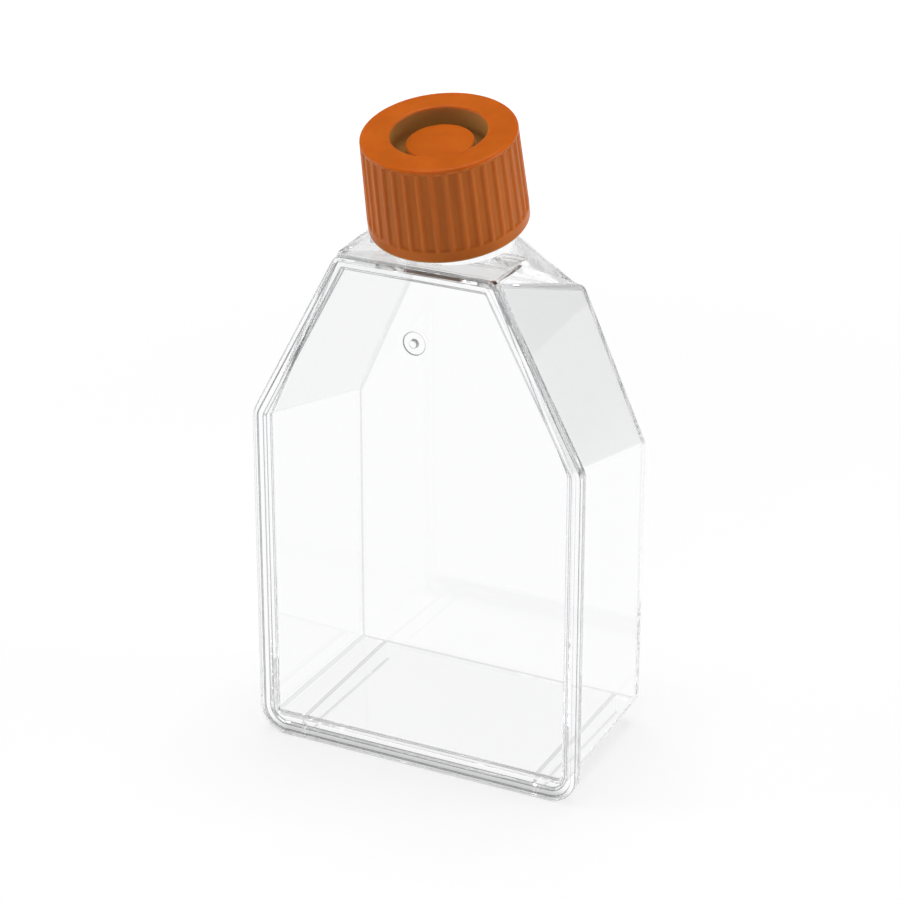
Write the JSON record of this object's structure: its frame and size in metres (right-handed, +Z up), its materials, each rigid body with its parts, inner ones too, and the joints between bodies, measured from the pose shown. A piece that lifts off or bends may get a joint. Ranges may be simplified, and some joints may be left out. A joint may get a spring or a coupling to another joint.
{
  "type": "cell culture flask",
  "caption": "Clear flat-sided cell culture flask with sloped shoulders, a welded front plate with a stacking rim, and a canted neck closed by a ribbed orange plug-seal screw cap.",
  "frame": {"origin": "middle of the footprint, halfway between the stacking rim and the growth face, on the surface the flask stands on", "axes": "+Z up the flask to its neck, +Y from the front plate to the growth face, +X across the flask"},
  "size_m": [0.085, 0.0499, 0.1602],
  "materials": {
    "clear_styrene": "clear, polished",
    "orange_cap": "satin, coloured through"
  },
  "bodies": {
    "flask": {"flask_body": "clear_styrene", "front_plate": "clear_styrene"},
    "cap": {"cap": "orange_cap"}
  },
  "joints": [
    {"name": "cap_lift", "type": "slide", "parent": "flask", "child": "cap", "axis": [0, -0.225, 0.9744], "range_m": [0, 0.03]}
  ]
}
